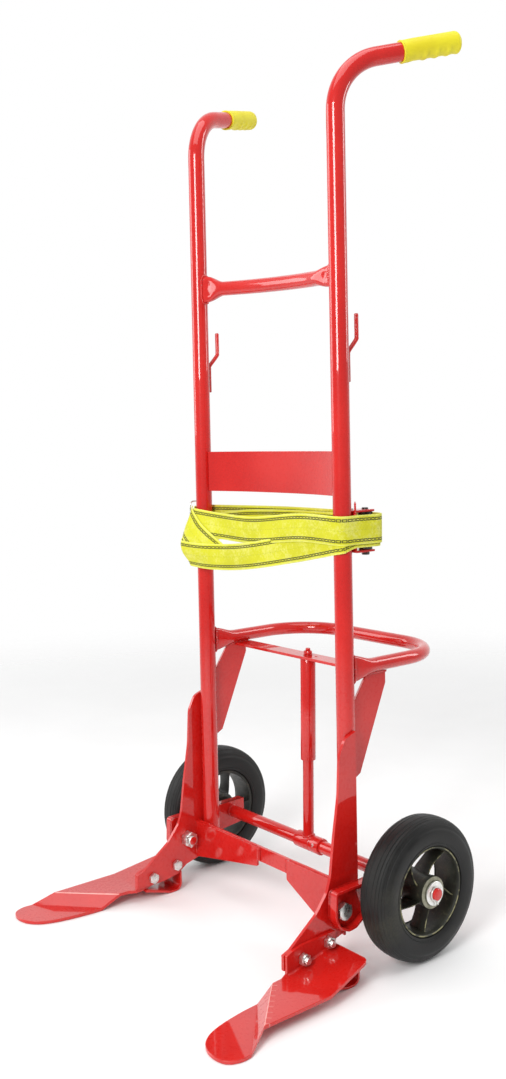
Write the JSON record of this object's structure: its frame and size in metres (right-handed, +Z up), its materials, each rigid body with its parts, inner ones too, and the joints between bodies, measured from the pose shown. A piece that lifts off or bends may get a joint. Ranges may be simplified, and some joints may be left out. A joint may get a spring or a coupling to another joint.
{
  "type": "hand truck",
  "caption": "Tall tube hand truck with back-swept grips, folded paddle toes, a sprung wheel carriage on cast wheels, a rear bow and a webbing tie-down with a small winch",
  "frame": {"origin": "On the floor, midway across the width and midway between the toe tips and the back of the bow", "axes": "+Z up the uprights, -Y towards the toes, +Y towards the handles, +X to the right seen from behind"},
  "size_m": [0.702, 0.68, 1.6465],
  "materials": {
    "red_paint": "glossy red enamel over steel",
    "yellow_grip": "moulded soft yellow plastic",
    "webbing": "woven yellow-green polyester webbing",
    "zinc": "dull zinc plate",
    "dark_steel": "dark oiled steel",
    "tyre_rubber": "matt black rubber",
    "rim_casting": "dark painted casting"
  },
  "bodies": {
    "frame": {"back_plate": "red_paint", "bow_tube": "red_paint", "brace_left": "red_paint", "brace_right": "red_paint", "cross_tube": "red_paint", "grip_left": "yellow_grip", "grip_right": "yellow_grip", "gusset_left": "red_paint", "gusset_right": "red_paint", "heel_left": "red_paint", "heel_right": "red_paint", "hook_left": "red_paint", "hook_right": "red_paint", "lower_bar": "red_paint", "pawl_pin": "zinc", "pivot_bolt_left": "zinc", "pivot_bolt_right": "zinc", "pivot_nut_left": "zinc", "pivot_nut_right": "zinc", "side_plate_left": "red_paint", "side_plate_right": "red_paint", "strap_flap": "webbing", "strap_lower": "webbing", "strap_upper": "webbing", "strut_bar": "red_paint", "toe_bolt_front_left": "zinc", "toe_bolt_front_right": "zinc", "toe_bolt_rear_left": "zinc", "toe_bolt_rear_right": "zinc", "toe_left": "red_paint", "toe_nut_front_left": "zinc", "toe_nut_front_right": "zinc", "toe_nut_rear_left": "zinc", "toe_nut_rear_right": "zinc", "toe_right": "red_paint", "upright_left": "red_paint", "upright_right": "red_paint", "winch_bracket": "red_paint", "wire_hook": "zinc"},
    "carriage": {"axle": "red_paint", "axle_collar": "red_paint", "axle_washer_left": "zinc", "axle_washer_right": "zinc", "collar_screw": "zinc", "cotter_left": "zinc", "cotter_right": "zinc", "swing_arm_left": "red_paint", "swing_arm_right": "red_paint"},
    "wheel_left": {"tyre_left": "tyre_rubber", "rim_left": "rim_casting"},
    "wheel_right": {"tyre_right": "tyre_rubber", "rim_right": "rim_casting"},
    "strut_upper": {"strut_upper": "red_paint", "stud_nut": "red_paint", "strut_spring": "dark_steel"},
    "strut_lower": {"strut_lower": "red_paint", "strut_sleeve": "red_paint"},
    "winch_spool": {"winch_spool": "dark_steel"},
    "winch_pawl": {"winch_pawl": "dark_steel"}
  },
  "joints": [
    {"name": "carriage_swing", "type": "hinge", "parent": "frame", "child": "carriage", "pos_m": [0, 0, 0.105], "axis": [1, 0, 0], "range_deg": [0, 4], "stiffness_Nm_per_rad": 300, "springref_deg": -6.88},
    {"name": "wheel_left_spin", "type": "hinge", "parent": "carriage", "child": "wheel_left", "pos_m": [-0.298, 0.1347, 0.127], "axis": [1, 0, 0], "continuous": true},
    {"name": "wheel_right_spin", "type": "hinge", "parent": "carriage", "child": "wheel_right", "pos_m": [0.298, 0.1347, 0.127], "axis": [1, 0, 0], "continuous": true},
    {"name": "strut_rock", "type": "hinge", "parent": "frame", "child": "strut_upper", "pos_m": [0.006, 0.142, 0.4997], "axis": [1, 0, 0], "range_deg": [-0.3, 0.1]},
    {"name": "strut_slide", "type": "slide", "parent": "strut_upper", "child": "strut_lower", "axis": [0, 0.0196, 0.9998], "range_m": [0, 0.0096], "deforming": ["strut_spring"]},
    {"name": "winch_turn", "type": "hinge", "parent": "frame", "child": "winch_spool", "pos_m": [0.206, 0.107, 0.755], "axis": [0, 0, 1], "continuous": true},
    {"name": "pawl_swing", "type": "hinge", "parent": "frame", "child": "winch_pawl", "pos_m": [0.1935, 0.085, 0.799], "axis": [0, 0, 1], "range_deg": [-10, 20]}
  ],
  "couplings": [
    {"joint": "strut_rock", "follows": "carriage_swing", "ratio": -0.0659},
    {"joint": "strut_slide", "follows": "carriage_swing", "m_per_rad": 0.1342}
  ]
}
